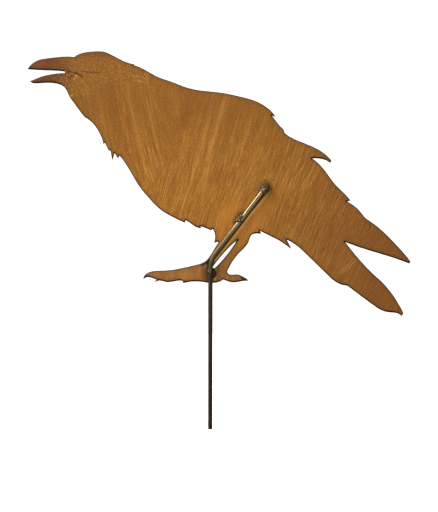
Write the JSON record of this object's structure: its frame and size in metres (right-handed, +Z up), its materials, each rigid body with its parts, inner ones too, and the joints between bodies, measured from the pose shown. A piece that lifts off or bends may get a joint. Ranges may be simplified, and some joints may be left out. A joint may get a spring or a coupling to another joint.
{
  "type": "crow garden stake",
  "caption": "Flat rusted-steel crow silhouette with open beak and forked tail, welded to one bent round bar that plants in the ground as its stake.",
  "frame": {"origin": "on the axis of the stake at the ground line, level with the crow's claws", "axes": "+Z up along the stake, +X towards the tail, beak towards -X, +Y from the bar side to the plain face of the plate"},
  "size_m": [0.478, 0.0075, 0.4722],
  "materials": {
    "rusted_plate": "matte",
    "dark_bar": "satin",
    "weld_metal": "matte"
  },
  "bodies": {
    "root": {"crow_plate": "rusted_plate", "stake_rod": "dark_bar", "weld_upper_end": "weld_metal", "weld_middle": "weld_metal", "weld_foot_left": "weld_metal", "weld_foot_right": "weld_metal"}
  },
  "joints": []
}
